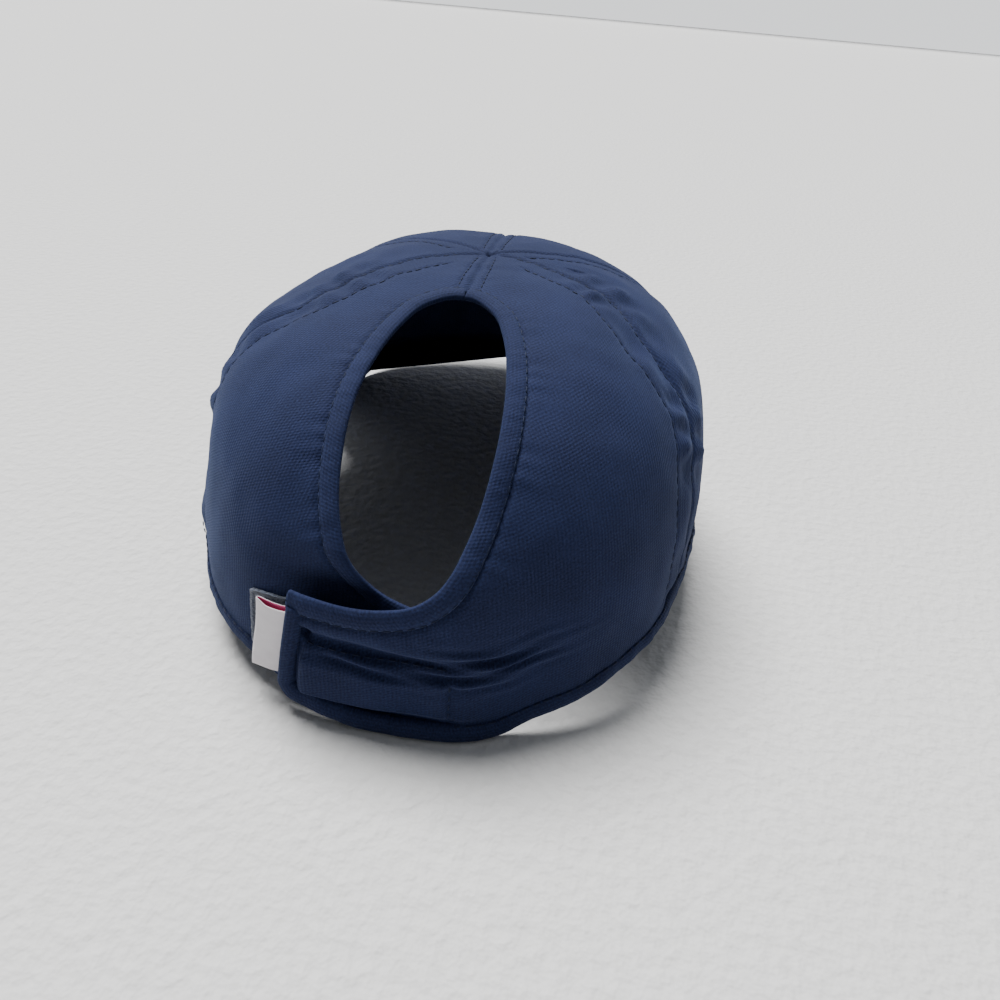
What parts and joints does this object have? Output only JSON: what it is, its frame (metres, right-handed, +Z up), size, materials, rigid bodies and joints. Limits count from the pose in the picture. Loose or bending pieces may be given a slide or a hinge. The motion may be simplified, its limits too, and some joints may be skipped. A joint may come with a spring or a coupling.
{
  "type": "ponytail baseball cap",
  "caption": "Soft six-panel cap with a curved peak, a tall oval ponytail opening at the back and a hook-and-loop strap below it.",
  "frame": {"origin": "under the middle of the cap's whole box, on the surface that the cap stands on", "axes": "+Z up, -Y out along the peak, +Y out of the ponytail opening, +X towards the wearer's left"},
  "size_m": [0.1616, 0.2728, 0.0967],
  "materials": {
    "cap_cloth": "matt navy sports cloth with a fine rib",
    "binding_cloth": "matt navy folded binding",
    "hook_tape": "dark navy hook tape",
    "loop_tape": "dark navy loop tape with a fuzzy face",
    "label_satin": "white folded ribbon with a pink inner layer",
    "peak_cloth": "matt navy cloth over a stiff curved board"
  },
  "bodies": {
    "root": {"front_panel_left": "cap_cloth", "front_panel_right": "cap_cloth", "side_panel_left": "cap_cloth", "side_panel_right": "cap_cloth", "back_panel_left": "cap_cloth", "back_panel_right": "cap_cloth", "opening_binding_left": "binding_cloth", "opening_binding_right": "binding_cloth", "rim_binding_left": "binding_cloth", "rim_binding_right": "binding_cloth", "hook_patch": "hook_tape", "loop_patch": "loop_tape", "label": "label_satin", "peak": "peak_cloth"}
  },
  "joints": []
}
